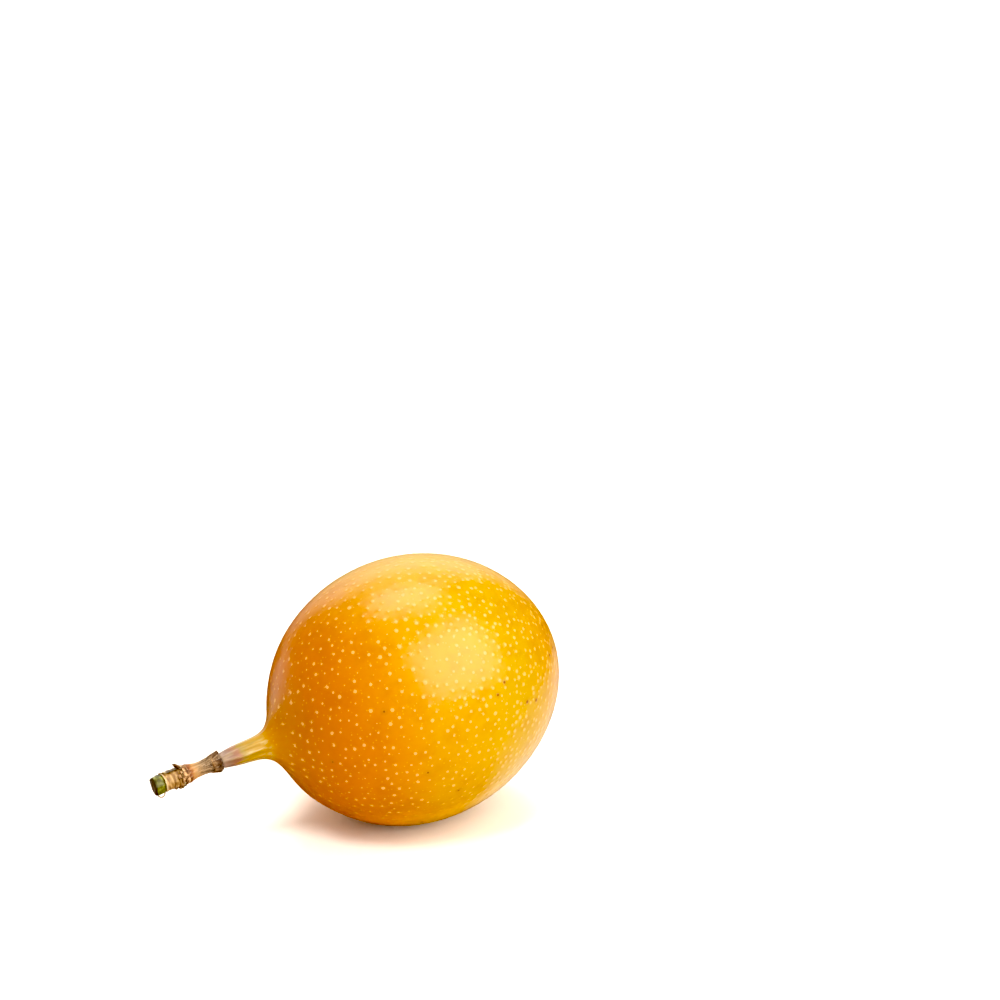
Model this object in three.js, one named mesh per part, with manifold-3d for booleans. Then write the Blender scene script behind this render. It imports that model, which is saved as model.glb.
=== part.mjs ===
// A sweet granadilla passion fruit lying on its side, in millimetres, +Z up.
// It rests on a small flat spot centred on the origin and its stalk points along -X.
// Each part is drawn standing first, fruit axis up +Z and stalk on top, then laid down.
import * as THREE from "three";
import { mergeVertices } from "three/addons/utils/BufferGeometryUtils.js";
import Module from "manifold-3d";

// Berry: an egg measured from its widest section.
const BERRY_RADIUS = 32.9;
const BERRY_TO_STALK = 37.95;
const BERRY_TO_BLOSSOM = 38.5;
const OVAL = 0.018; // the berry is this share taller than round, and less wide
const OVAL_TURN = 0;
const LOBE = 0.0096; // faint three-sided unevenness from the seed chambers
const LOBE_TURN = 0.985;
const LEAN_UP = 0.002;
const LEAN_SIDE = -0.04;

// Blossom end: a shallow dimple with the scar of the style in it.
const DIMPLE_DEPTH = 0.7;
const DIMPLE_RADIUS = 3.4;
const SCAR_HEIGHT = 0.55;
const SCAR_RADIUS = 1.0;

// Neck: leaves the berry at a polar angle and runs up to the joint of the stalk.
const NECK_LEAVES_AT = 23; // degrees from the axis
const NECK_LOWER_PULL = 14.8;
const NECK_UPPER_PULL = 11.3;
const NECK_END = 54.3;
const NECK_END_RADIUS = 1.8;
const NECK_TAPER = 0.2;
const NECK_LIFT = 0.08; // the neck and all beyond it stand this much above the axis
const LIFT_FROM = 40;
const SHOULDER_DROP = 0.95; // the shoulder under the neck hangs this much lower
const SHOULDER_AT = 35.7;
const SHOULDER_REACH = 5.6;
const FLUTES = 9;
const FLUTE_RELIEF = 0.16;
const FLUTE_CENTRE = 46.5;
const FLUTE_REACH = 6.2;

// Joint: a peg of the neck sits inside the torn collar of the stalk.
const GAP = 0.3;
const PEG_RADIUS = 1.3;
const PEG_LENGTH = 1.2;
const COLLAR_CLEAR = 0.4; // from the end of the neck to the rim of the collar

// Dry stalk, measured from the rim of its collar.
const STALK_LENGTH = 15.1;
const STALK_WAIST = 1.68;
const COLLAR_FLARE = 0.66; // how much wider than the waist the collar is at its rim
const COLLAR_REACH = 2.0;
const SHEATH_FROM = 4.6; // the papery sheath widens between these heights
const SHEATH_TO = 9.0;
const SHEATH_SWELL = 0.44;
const SCAR_RING_AT = 8.4;
const SCAR_RING_SWELL = 0.2;
const SCAR_RING_REACH = 0.9;
const TOOTH_DEPTH = 0.5; // of the torn rim
const FIBRES = 9;
const FIBRE_RELIEF = 0.09;
const FIBRE_TWIST = 0.09; // radians per millimetre
const WRINKLE_RELIEF = 0.04;
const STALK_BOW = 0.1;
const BARK_THICKNESS = 0.62;

// Green living tip with its cut face, plugged into the dry stalk.
const TIP_LENGTH = 2.6;
const TIP_RADIUS = 2.3;
const TIP_FACET = 0.07;
const CUT_RADIUS = 1.8;
const CUT_SLANT = 0.09;
const PITH_RADIUS = 1.1;
const PITH_DEPTH = 0.35;
const SHANK_RADIUS = 0.75;
const SHANK_LENGTH = 2.0;

// How the fruit lies.
const STALK_DROP = 8.4; // degrees that the stalk end hangs below the horizontal
const SEAT_HEIGHT = 33.4; // height of the middle of the berry over the ground
const SEAT_X = 1.09;
const SEAT_Y = 0.07;

// Mesh steps.
const BERRY_SIDES = 64;
const BERRY_RINGS = 30;
const NECK_RINGS = 12;
const STALK_SIDES = 36;
const STALK_RINGS = 34;
const TIP_SIDES = 28;
const SMALLEST_EDGE = 0.005;

const wasm = await Module();
wasm.setup();

function toSolid(geometry) {
  const bare = geometry.clone();
  bare.deleteAttribute("normal");
  bare.deleteAttribute("uv");
  const merged = mergeVertices(bare, 1e-3);
  return new wasm.Manifold(
    new wasm.Mesh({
      numProp: 3,
      vertProperties: merged.attributes.position.array,
      triVerts: new Uint32Array(merged.index.array),
    }),
  );
}

function toGeometry(solid) {
  const mesh = solid.getMesh();
  const geometry = new THREE.BufferGeometry();
  geometry.setAttribute("position", new THREE.BufferAttribute(mesh.vertProperties, 3));
  geometry.setIndex(new THREE.BufferAttribute(mesh.triVerts, 1));
  geometry.computeVertexNormals();
  return geometry;
}

// Joins solids and keeps the outer shell, so small pockets under the flakes are filled.
function weld(solids) {
  const joined = solids.reduce((sum, solid) => sum.add(solid)).simplify(SMALLEST_EDGE);
  const shells = joined.decompose();
  shells.sort((a, b) => b.volume() - a.volume());
  return shells[0];
}

// Spins a profile of (radius, height) pairs about +Z.
function spin(pairs, sides) {
  const points = pairs.map(([r, z]) => new THREE.Vector2(r, z));
  const geometry = new THREE.LatheGeometry(points, sides);
  geometry.rotateX(Math.PI / 2);
  return geometry;
}

// Moves every vertex by a rule given in radius, angle and height.
function reshape(geometry, rule) {
  const position = geometry.attributes.position;
  for (let i = 0; i < position.count; i++) {
    const x = position.getX(i);
    const y = position.getY(i);
    const moved = rule(Math.hypot(x, y), Math.atan2(y, x), position.getZ(i));
    position.setXYZ(i, moved[0], moved[1], moved[2]);
  }
  return geometry;
}

// Bell-shaped weight, 1 at the centre.
function bell(value, centre, reach) {
  return Math.exp(-(((value - centre) / reach) ** 2));
}

// Sideways drift of the shoulder and neck at a height over the middle of the berry.
function drift(z) {
  const lift = NECK_LIFT * THREE.MathUtils.smoothstep(z, LIFT_FROM, NECK_END);
  return lift - SHOULDER_DROP * bell(z, SHOULDER_AT, SHOULDER_REACH);
}

// Outline of the berry from the blossom end to the end of the neck.
function berryProfile() {
  const leave = THREE.MathUtils.degToRad(NECK_LEAVES_AT);
  const pairs = [[0, -BERRY_TO_BLOSSOM]];
  for (const r of [0.45, 0.85, 1.25, 1.9, 2.8, 4.0]) {
    pairs.push([r, -BERRY_TO_BLOSSOM * Math.sqrt(1 - (r / BERRY_RADIUS) ** 2)]);
  }
  const start = Math.asin(5.6 / BERRY_RADIUS);
  for (let i = 0; i <= BERRY_RINGS; i++) {
    const polar = Math.PI - start - ((Math.PI - start - leave) * i) / BERRY_RINGS;
    const reach = Math.cos(polar) < 0 ? BERRY_TO_BLOSSOM : BERRY_TO_STALK;
    pairs.push([BERRY_RADIUS * Math.sin(polar), reach * Math.cos(polar)]);
  }
  const [r0, z0] = pairs[pairs.length - 1];
  const along = new THREE.Vector2(-BERRY_RADIUS * Math.cos(leave), BERRY_TO_STALK * Math.sin(leave));
  along.normalize();
  const neck = new THREE.CubicBezierCurve(
    new THREE.Vector2(r0, z0),
    new THREE.Vector2(r0 + along.x * NECK_LOWER_PULL, z0 + along.y * NECK_LOWER_PULL),
    new THREE.Vector2(NECK_END_RADIUS + NECK_UPPER_PULL * NECK_TAPER, NECK_END - NECK_UPPER_PULL),
    new THREE.Vector2(NECK_END_RADIUS, NECK_END),
  );
  for (const point of neck.getPoints(NECK_RINGS).slice(1)) {
    pairs.push([point.x, point.y]);
  }
  return pairs;
}

// Berry with its neck: uneven egg, fluted neck, peg for the joint, blossom scar.
function makeFruit() {
  const pairs = berryProfile();
  pairs.push([PEG_RADIUS, NECK_END + GAP / 2]);
  pairs.push([PEG_RADIUS, NECK_END + PEG_LENGTH]);
  pairs.push([0, NECK_END + PEG_LENGTH]);
  const geometry = spin(pairs, BERRY_SIDES);
  return reshape(geometry, (r, angle, z) => {
    const share = Math.min(r / BERRY_RADIUS, 1);
    const oval = OVAL * Math.cos(2 * (angle - OVAL_TURN));
    const lobe = LOBE * Math.cos(3 * (angle - LOBE_TURN));
    const flute = FLUTE_RELIEF * bell(z, FLUTE_CENTRE, FLUTE_REACH) * Math.cos(FLUTES * angle);
    const radius = r * (1 + share * (oval + lobe)) + (r > 0 && z > 0 ? flute : 0);
    const dimple = z < 0 ? DIMPLE_DEPTH * bell(r, 0, DIMPLE_RADIUS) : 0;
    const scar = z < 0 ? SCAR_HEIGHT * Math.exp(-((r / SCAR_RADIUS) ** 4)) : 0;
    return [
      radius * Math.cos(angle) + LEAN_UP * z * share + drift(z),
      radius * Math.sin(angle) + LEAN_SIDE * z * share,
      z + dimple - scar,
    ];
  });
}

// Uneven teeth of torn bark round the stalk, between -1 and 1.
function torn(angle, turn) {
  return (
    0.5 * Math.cos(3 * angle + turn) +
    0.3 * Math.cos(5 * angle - 2 * turn) +
    0.2 * Math.cos(8 * angle + 3 * turn)
  );
}

// One curled flake of bark: a bent plate that stays on the stalk at its root.
function makeFlake(angle, root, radius, length, width, lift) {
  const plate = new THREE.BoxGeometry(width, BARK_THICKNESS, Math.abs(length), 4, 1, 5);
  const position = plate.attributes.position;
  for (let i = 0; i < position.count; i++) {
    const along = position.getZ(i) / Math.abs(length) + 0.5;
    const narrowing = 1 - 0.45 * along * along;
    const away = radius + position.getY(i) + lift * along * along;
    const turn = angle - (Math.sign(length) * position.getX(i) * narrowing) / radius;
    const height = root + length * along * (1 - 0.15 * along);
    position.setXYZ(i, away * Math.cos(turn), away * Math.sin(turn), height);
  }
  return toSolid(plate);
}

// Sideways bow of the stalk at a height over its rim.
function bow(height) {
  const share = height / STALK_LENGTH;
  return STALK_BOW * share * share;
}

// Radius of the dry stalk at a height over its rim.
function stalkRadius(height) {
  const collar = COLLAR_FLARE * bell(height, 0, COLLAR_REACH);
  const sheath = SHEATH_SWELL * THREE.MathUtils.smoothstep(height, SHEATH_FROM, SHEATH_TO);
  const ring = SCAR_RING_SWELL * bell(height, SCAR_RING_AT, SCAR_RING_REACH);
  return STALK_WAIST + collar + sheath + ring;
}

// Dry brown stalk: torn collar, fibrous waist, scar ring with curled bark, papery sheath.
function makeStalk() {
  const cup = PEG_RADIUS + GAP;
  const socket = SHANK_RADIUS + GAP;
  const pairs = [
    [0, PEG_LENGTH],
    [cup, PEG_LENGTH],
    [cup, PEG_LENGTH / 2],
    [cup, 0],
  ];
  for (let i = 0; i <= STALK_RINGS; i++) {
    const height = (STALK_LENGTH * i) / STALK_RINGS;
    pairs.push([stalkRadius(height), height]);
  }
  pairs.push([socket, STALK_LENGTH]);
  pairs.push([socket, STALK_LENGTH - SHANK_LENGTH / 2]);
  pairs.push([socket, STALK_LENGTH - SHANK_LENGTH - GAP]);
  pairs.push([0, STALK_LENGTH - SHANK_LENGTH - GAP]);
  const body = reshape(spin(pairs, STALK_SIDES), (r, angle, z) => {
    const outside = r > cup + 0.05 ? 1 : 0;
    const twist = angle + FIBRE_TWIST * z;
    const fibre = FIBRE_RELIEF * Math.cos(FIBRES * twist);
    const wrinkle = WRINKLE_RELIEF * (Math.cos(4 * twist + 1) + Math.cos(2.4 * z + 2 * angle));
    const notch = outside * bell(z, 0, 0.9) * TOOTH_DEPTH * (0.5 + 0.5 * torn(angle, 0.4));
    const ring = outside * bell(z, SCAR_RING_AT, SCAR_RING_REACH) * torn(angle, 2.1);
    const radius = r + outside * (fibre + wrinkle) + 0.25 * ring;
    const height = z + notch + 0.35 * ring;
    return [radius * Math.cos(angle) + bow(z), radius * Math.sin(angle), height];
  });
  const flakes = [
    makeFlake(0.5, 8.3, 2.05, 2.6, 2.2, 0.5),
    makeFlake(2.4, 8.5, 2.05, 2.2, 2.0, 0.4),
    makeFlake(3.9, 8.3, 2.05, 2.7, 2.3, 0.6),
    makeFlake(5.3, 8.6, 2.05, 2.1, 1.9, 0.45),
    makeFlake(1.4, 8.8, 2.05, -1.6, 1.6, 0.3),
    makeFlake(0.9, 2.3, 1.85, -1.9, 1.9, 0.45),
    makeFlake(3.1, 2.4, 1.85, -2.0, 1.7, 0.4),
    makeFlake(5.1, 2.2, 1.85, -1.8, 1.9, 0.7),
    makeFlake(2.0, 12.6, 1.95, 2.3, 1.8, 0.25),
    makeFlake(4.6, 12.4, 1.95, 2.4, 1.7, 0.3),
  ];
  const geometry = toGeometry(weld([toSolid(body), ...flakes]));
  geometry.translate(NECK_LIFT, 0, NECK_END + COLLAR_CLEAR);
  return geometry;
}

// Green tip: slightly angular stub, rounded shoulder, brown cut face with sunken pith.
function makeTip() {
  const foot = STALK_LENGTH + GAP;
  const cut = foot + TIP_LENGTH;
  const shoulder = TIP_RADIUS - CUT_RADIUS;
  const pairs = [
    [0, STALK_LENGTH - SHANK_LENGTH],
    [SHANK_RADIUS, STALK_LENGTH - SHANK_LENGTH],
    [SHANK_RADIUS, STALK_LENGTH - SHANK_LENGTH / 2],
    [SHANK_RADIUS, foot],
    [TIP_RADIUS - 0.25, foot],
    [TIP_RADIUS, foot + 0.25],
    [TIP_RADIUS, foot + TIP_LENGTH / 2],
    [TIP_RADIUS - 0.1 * shoulder, cut - 1.4 * shoulder],
    [TIP_RADIUS - 0.4 * shoulder, cut - 0.6 * shoulder],
    [CUT_RADIUS, cut],
    [PITH_RADIUS + 0.3, cut],
    [PITH_RADIUS, cut - 0.6 * PITH_DEPTH],
    [PITH_RADIUS / 2, cut - PITH_DEPTH],
    [0, cut - 0.8 * PITH_DEPTH],
  ];
  const geometry = reshape(spin(pairs, TIP_SIDES), (r, angle, z) => {
    const outside = r > PITH_RADIUS + 0.1 ? 1 : 0;
    const facet = outside * TIP_FACET * (Math.cos(5 * angle + 0.6) + 0.7 * Math.cos(2 * angle));
    const slant = z > foot + 0.5 ? CUT_SLANT * r * Math.cos(angle - 2.4) : 0;
    return [(r + facet) * Math.cos(angle) + bow(z), (r + facet) * Math.sin(angle), z + slant];
  });
  geometry.translate(NECK_LIFT, 0, NECK_END + COLLAR_CLEAR);
  return geometry;
}

// Lays a standing part on its side, at its height over the ground.
function layDown(geometry) {
  geometry.rotateY(-THREE.MathUtils.degToRad(90 + STALK_DROP));
  geometry.translate(SEAT_X, SEAT_Y, SEAT_HEIGHT);
  return geometry;
}

// Takes off the underside below the ground, which leaves the flat resting spot.
function pressFlat(geometry) {
  const ground = new THREE.BoxGeometry(200, 200, 40);
  ground.translate(0, 0, -20);
  return toGeometry(toSolid(geometry).subtract(toSolid(ground)).simplify(SMALLEST_EDGE));
}

const rind = new THREE.MeshStandardMaterial({ color: "#ee9a0c", roughness: 0.3, metalness: 0 });
const bark = new THREE.MeshStandardMaterial({ color: "#8a6238", roughness: 0.85, metalness: 0 });
const green = new THREE.MeshStandardMaterial({ color: "#6f8a33", roughness: 0.6, metalness: 0 });

function addNode(group, name, geometry, material) {
  const mesh = new THREE.Mesh(geometry, material);
  mesh.name = name;
  group.add(mesh);
}

const passionFruit = new THREE.Group();
passionFruit.name = "passion_fruit";
addNode(passionFruit, "fruit", pressFlat(layDown(makeFruit())), rind);
addNode(passionFruit, "stalk", layDown(makeStalk()), bark);
addNode(passionFruit, "stalk_tip", layDown(makeTip()), green);

export default passionFruit;
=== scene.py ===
import itertools
import math
import random

import bpy
import numpy as np
from mathutils import Matrix, Vector, noise
from mathutils.kdtree import KDTree


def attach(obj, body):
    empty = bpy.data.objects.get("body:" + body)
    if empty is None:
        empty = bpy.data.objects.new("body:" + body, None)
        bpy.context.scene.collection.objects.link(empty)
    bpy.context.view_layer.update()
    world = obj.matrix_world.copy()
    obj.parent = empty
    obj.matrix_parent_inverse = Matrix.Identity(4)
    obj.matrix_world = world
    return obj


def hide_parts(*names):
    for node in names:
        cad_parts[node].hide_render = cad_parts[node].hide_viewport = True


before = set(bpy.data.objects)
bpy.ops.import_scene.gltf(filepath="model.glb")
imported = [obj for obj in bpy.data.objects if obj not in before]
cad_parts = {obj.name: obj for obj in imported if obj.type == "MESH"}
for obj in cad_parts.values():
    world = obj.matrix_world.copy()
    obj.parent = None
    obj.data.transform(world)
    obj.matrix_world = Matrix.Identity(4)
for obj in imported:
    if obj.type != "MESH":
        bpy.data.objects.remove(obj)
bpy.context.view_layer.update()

# Sizes are in millimetres, and heights count along the fruit's own axis from its widest section, unless
# the comment over them says something else. Turns are in radians.
MM = 0.001
SEED = 11

# Berry. Oval, lobe and leans are shares of its radius or height.
BERRY_RADIUS = 32.9
BERRY_TO_STALK = 37.95
BERRY_TO_BLOSSOM = 38.5
OVAL = 0.018
LOBE = 0.0096
LOBE_TURN = 0.985
LEAN_UP = 0.002
LEAN_SIDE = -0.04
DIMPLE_DEPTH = 0.7
DIMPLE_RADIUS = 3.4
SCAR_HEIGHT = 0.55
SCAR_RADIUS = 1.0
BERRY_POINTS = 420

# Neck, which leaves the berry at this turn from the axis, and the peg that the stalk's collar holds.
NECK_LEAVES_AT = math.radians(23)
NECK_LOWER_PULL = 14.8
NECK_UPPER_PULL = 11.3
NECK_END = 54.3
NECK_END_RADIUS = 1.8
NECK_TAPER = 0.2
NECK_POINTS = 240
NECK_LIFT = 0.08
LIFT_FROM = 40
SHOULDER_DROP = 0.95
SHOULDER_AT = 35.7
SHOULDER_REACH = 5.6
FLUTES = 9
FLUTE_RELIEF = 0.16
FLUTE_CENTRE = 46.5
FLUTE_REACH = 6.2
COLLAR_CLEAR = 0.4

# Rings over the end of the neck to the end of its peg: radius, and height past the end of the neck.
NECK_PEG = ((1.68, 0.12), (1.4, 0.25), (1.3, 0.45), (1.3, 1.1))

# Dry stalk: heights count from the rim of its collar.
STALK_LENGTH = 15.1
STALK_WAIST = 1.77
COLLAR_FLARE = 0.66
COLLAR_REACH = 2.7
SHEATH_FROM = 4.6
SHEATH_TO = 9.0
SHEATH_SWELL = 0.35
SCAR_RING_AT = 8.4
SCAR_RING_SWELL = 0.2
SCAR_RING_REACH = 0.9
FIBRE_TWIST = 0.09  # radians for each millimetre along the stalk
STALK_BOW = -0.12
STALK_SIDES = 104
STALK_RING_STEP = 0.115

# The stalk's rings inside the collar, from the floor of its hollow out to the rim, and over its far end.
COLLAR_HOLLOW = ((1.45, 1.25), (1.52, 0.4), (1.75, 0.1), (1.98, -0.12), (2.04, -0.36), (2.12, -0.5),
                 (2.24, -0.54))
HOLLOW_RADIUS = 2.08
HOLLOW_TOP = 1.4
COLLAR_RIM = -0.44
STALK_END = ((1.95, STALK_LENGTH + 0.08), (1.6, STALK_LENGTH + 0.12))

# Relief of the stalk's bark; the knot is the scar ring. Cracks fade and return between these heights.
CRACK_DEPTH = 0.24
CRACKS_FADE = (2.5, 7.2)
CRACKS_RETURN = (9.5, 11.0)
GROOVE_RELIEF = 0.13
FIBRE_RELIEF = 0.05
KNOT_RELIEF = 0.16
KNOT_SWELL = 0.05
TORN_DEEP = 0.55
TORN_FINE = 0.5
TORN_REACH = 0.8
TORN_OUTSIDE = 1.6
TORN_INSIDE = 0.6
COLLAR_RAGGED = 0.12

# Rows of bark scales: how many, how far each may stray round the stalk from its even place as a share of
# the gap, then ranges for the height it grows from, length, width, lean and curl. A negative length hangs
# down. The first two rows are the ruff over the scar ring, and the last one makes the collar ragged.
SCALE_ROWS = ((13, 0.3, (8.5, 8.9), (1.4, 2.5), (1.2, 1.9), (-0.04, 0.1), (0.2, 1.1)),
              (11, 0.35, (9.3, 10.4), (1.3, 2.2), (1.1, 1.7), (0.0, 0.12), (0.4, 1.5)),
              (9, 0.3, (1.6, 2.4), (-1.7, -2.7), (1.1, 1.8), (0.1, 0.24), (-0.09, 0.21)))
SCALE_THICKNESS = 0.13
SCALE_SUNK = 0.02

# Papery sheath: heights as on the stalk, and the turn where its free edge lies.
SHEATH_START = 10.0
SHEATH_END = 15.25
SHEATH_OPEN_AT = math.radians(-17)
SHEATH_WRAP = math.radians(404)
SHEATH_THICKNESS = 0.11
SHEATH_CLEAR = 0.13
SHEATH_OVERLAP = 0.14
SHEATH_FREE_LIFT = 0.3
SHEATH_FREE_SHORT = 0.7
SHEATH_END_FLARE = 0.14
SHEATH_START_FLARE = 0.1

# Loose fibre of the sheath.
FIBRE_RADIUS = 0.19
FIBRE_ROOT = 1.95
FIBRE_HEIGHT = 16.45
FIBRE_DROP = 0.95
FIBRE_LOOP_OUT = 0.22
FIBRE_LEAN = math.radians(77)
FIBRE_SWEEP = math.radians(200)
FIBRE_TURN = math.radians(153)

# Green tip: heights as on the stalk, but those in its rings of (radius, height) count from its foot, or
# from its cut.
TIP_FOOT = STALK_LENGTH + 0.18
TIP_CUT = STALK_LENGTH + 2.9
TIP_RADIUS = 2.3
TIP_SIDES = 72
TIP_FACETS = 0.09
TIP_OVAL = 0.05
TIP_LUMPS = 0.12
TIP_BUD = 0.22
TIP_BUD_AT = math.radians(20)
CUT_RADIUS = 1.8
CUT_SLANT = 0.15
CUT_ROUGH = 0.05
CUT_RIM = 1.2
FOOT_RINGS = ((1.2, -0.1), (1.9, 0.0), (2.14, 0.1), (2.25, 0.28))
CUT_RINGS = ((1.66, -0.01), (1.58, -0.07), (1.45, -0.08), (1.3, -0.08), (1.16, -0.08), (1.04, -0.2),
             (0.85, -0.35), (0.6, -0.38), (0.3, -0.35))

# How the fruit lies.
STALK_DROP = math.radians(8.4)
SEAT = Vector((1.09, 0.07, 33.4)) * MM
LAY_DOWN = Matrix.Translation(SEAT) @ Matrix.Rotation(-math.pi / 2 - STALK_DROP, 4, "Y")

# Lenticels: small raised pores that cover the rind. Distances between them, then their radii.
LENTICEL_SPARSE = 1.8
LENTICEL_DENSE = 1.22
LENTICEL_SCATTER = 1.5  # the widest gap as a share of the closest
LENTICEL_SIZES = (0.27, 0.33, 0.39, 0.46, 0.54)
LENTICEL_USUAL = 0.31
LENTICEL_LARGEST = 0.62
LENTICEL_GROWTH = 0.25  # how much larger the usual one is at the blossom end
LENTICEL_FAINTEST = 0.4
LENTICEL_MARGIN = 0.3  # skin left between a lenticel and the next vertex
LENTICEL_RISE = 0.08  # height of a lenticel as a share of its radius
LENTICEL_SHOULDER = 0.34  # width of its slope, as such a share
LENTICEL_ROUNDNESS = 0.18
LENTICEL_STOP = 6.6  # none where the neck is thinner than this radius
LENTICEL_EDGE = (1.15, 0.65)  # where its colour starts and is full, as such shares
SCAR_EDGE = (1.25, 0.75)

# Lenticels are sparse above one height and dense below another, in patches about 14 mm across.
SPARSE_ABOVE = 22
DENSE_BELOW = -18
PATCH_WANDER = 16
PATCH_SCALE = 0.07

# Mesh of the rind: a sphere for the berry, rings for the neck, joined where the neck is this thin.
SPHERE_CUTS = 6
SPHERE_TURN = 0.4
VERTEX_SCATTER = 0.34
NECK_SIDES = 72
NECK_RINGS = 44
NECK_JOIN_RADIUS = 6.0
NECK_JOIN_GAP = 0.8

# Lenticels that have turned brown: turn round the axis in degrees, height over the widest section.
BROWN_LENTICELS = ((-69, 20.4), (-69, -31.9), (-74, -10.8), (-90, -19.7), (-78, -6.9), (-89, 32.5),
                   (-103, 12.8), (-119, 4.6), (-71, -29.3), (-51, -31.3), (-87, -17.8), (35, 18),
                   (120, -6), (170, 24), (78, -22), (-150, 10))


# ---------------- small helpers


def srgb(code):
    """Linear RGBA of an sRGB hex colour."""
    channels = [int(code[i:i + 2], 16) / 255 for i in (1, 3, 5)]
    linear = [c / 12.92 if c <= 0.04045 else ((c + 0.055) / 1.055) ** 2.4 for c in channels]
    return (*linear, 1.0)


def smoothstep(low, high, value):
    share = np.clip((value - low) / (high - low), 0.0, 1.0)
    return share * share * (3 - 2 * share)


def bell(value, centre, reach):
    return np.exp(-(((value - centre) / reach) ** 2))


def deselect_all():
    if bpy.context.object and bpy.context.object.mode != "OBJECT":
        bpy.ops.object.mode_set(mode="OBJECT")
    bpy.ops.object.select_all(action="DESELECT")


def edit(piece, mode="VERT"):
    """Opens a piece in edit mode with nothing selected."""
    deselect_all()
    piece.select_set(True)
    bpy.context.view_layer.objects.active = piece
    bpy.ops.object.mode_set(mode="EDIT")
    bpy.ops.mesh.select_mode(type=mode)
    bpy.ops.mesh.select_all(action="DESELECT")


def object_mode():
    bpy.ops.object.mode_set(mode="OBJECT")


def coordinates(mesh):
    places = np.empty(len(mesh.vertices) * 3)
    mesh.vertices.foreach_get("co", places)
    return places.reshape(-1, 3)


def move_vertices(mesh, places):
    mesh.vertices.foreach_set("co", np.asarray(places, float).ravel())
    mesh.update()


def lay_down(piece):
    """Turns a piece from standing millimetres to where it lies, in metres."""
    piece.data.transform(LAY_DOWN @ Matrix.Scale(MM, 4))
    piece.data.update()


def paint(piece, name, values):
    """Keeps one number for each vertex, for the materials to read."""
    layer = piece.data.attributes.new(name, "FLOAT", "POINT")
    layer.data.foreach_set("value", np.asarray(values, np.float32))


def join_pieces(pieces, name):
    deselect_all()
    for piece in pieces:
        piece.select_set(True)
    bpy.context.view_layer.objects.active = pieces[0]
    bpy.ops.object.join()
    pieces[0].name = name
    return pieces[0]


def face_outwards(piece):
    edit(piece)
    bpy.ops.mesh.select_all(action="SELECT")
    bpy.ops.mesh.normals_make_consistent(inside=False)
    object_mode()


def close_ends(piece):
    """Caps the open ends and turns every face outwards."""
    edit(piece, "EDGE")
    bpy.ops.mesh.select_all(action="SELECT")
    bpy.ops.mesh.fill_holes(sides=0)
    face_outwards(piece)


def thicken(piece, thickness):
    """Turns a sheet to a solid, with half the thickness on each side of it."""
    bpy.context.view_layer.objects.active = piece
    solidify = piece.modifiers.new("thickness", "SOLIDIFY")
    solidify.thickness = thickness
    solidify.offset = 0
    bpy.ops.object.modifier_apply(modifier=solidify.name)


def draw_rings(name, rings, sides):
    """A tube drawn from a circle, ring by ring; each ring is (radius, height)."""
    deselect_all()
    first_radius, first_height = rings[0]
    bpy.ops.mesh.primitive_circle_add(vertices=sides, radius=first_radius, location=(0, 0, first_height))
    piece = bpy.context.object
    piece.name = name
    bpy.ops.object.transform_apply()
    bpy.ops.object.mode_set(mode="EDIT")
    bpy.ops.mesh.select_mode(type="EDGE")
    bpy.ops.mesh.select_all(action="SELECT")
    for (low_radius, low), (radius, high) in zip(rings, rings[1:]):
        bpy.ops.mesh.extrude_region_move(TRANSFORM_OT_translate={"value": (0, 0, high - low)})
        share = radius / low_radius
        bpy.ops.transform.resize(value=(share, share, 1), center_override=(0, 0, high))
    object_mode()
    return piece


# ---------------- the rind


def berry_outline():
    """Radius and height of the berry and neck, from the blossom end to the end of the neck."""
    polar = np.linspace(math.pi, NECK_LEAVES_AT, BERRY_POINTS)
    reach = np.where(np.cos(polar) < 0, BERRY_TO_BLOSSOM, BERRY_TO_STALK)
    radius = BERRY_RADIUS * np.sin(polar)
    height = reach * np.cos(polar)
    radius[0] = 0.0
    leave = np.array([radius[-1], height[-1]])
    along = np.array([-BERRY_RADIUS * math.cos(NECK_LEAVES_AT), BERRY_TO_STALK * math.sin(NECK_LEAVES_AT)])
    along /= np.linalg.norm(along)
    low_pull = leave + along * NECK_LOWER_PULL
    end = np.array([NECK_END_RADIUS, NECK_END])
    high_pull = end + np.array([NECK_TAPER, -1.0]) * NECK_UPPER_PULL
    t = np.linspace(0, 1, NECK_POINTS)[1:, None]
    neck = (1 - t) ** 3 * leave + 3 * (1 - t) ** 2 * t * low_pull
    neck += 3 * (1 - t) * t**2 * high_pull + t**3 * end
    return np.r_[radius, neck[:, 0]], np.r_[height, neck[:, 1]]


class Outline:
    """The outline, with the area of the skin from the blossom end up to each point of it."""

    def __init__(self):
        self.radius, self.height = berry_outline()
        step = np.hypot(np.diff(self.radius), np.diff(self.height))
        middle = (self.radius[1:] + self.radius[:-1]) / 2
        self.area = np.r_[0, np.cumsum(2 * math.pi * middle * step)]
        past_widest = 300
        self.join_at = past_widest + int(np.argmax(self.radius[past_widest:] < NECK_JOIN_RADIUS))


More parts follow.
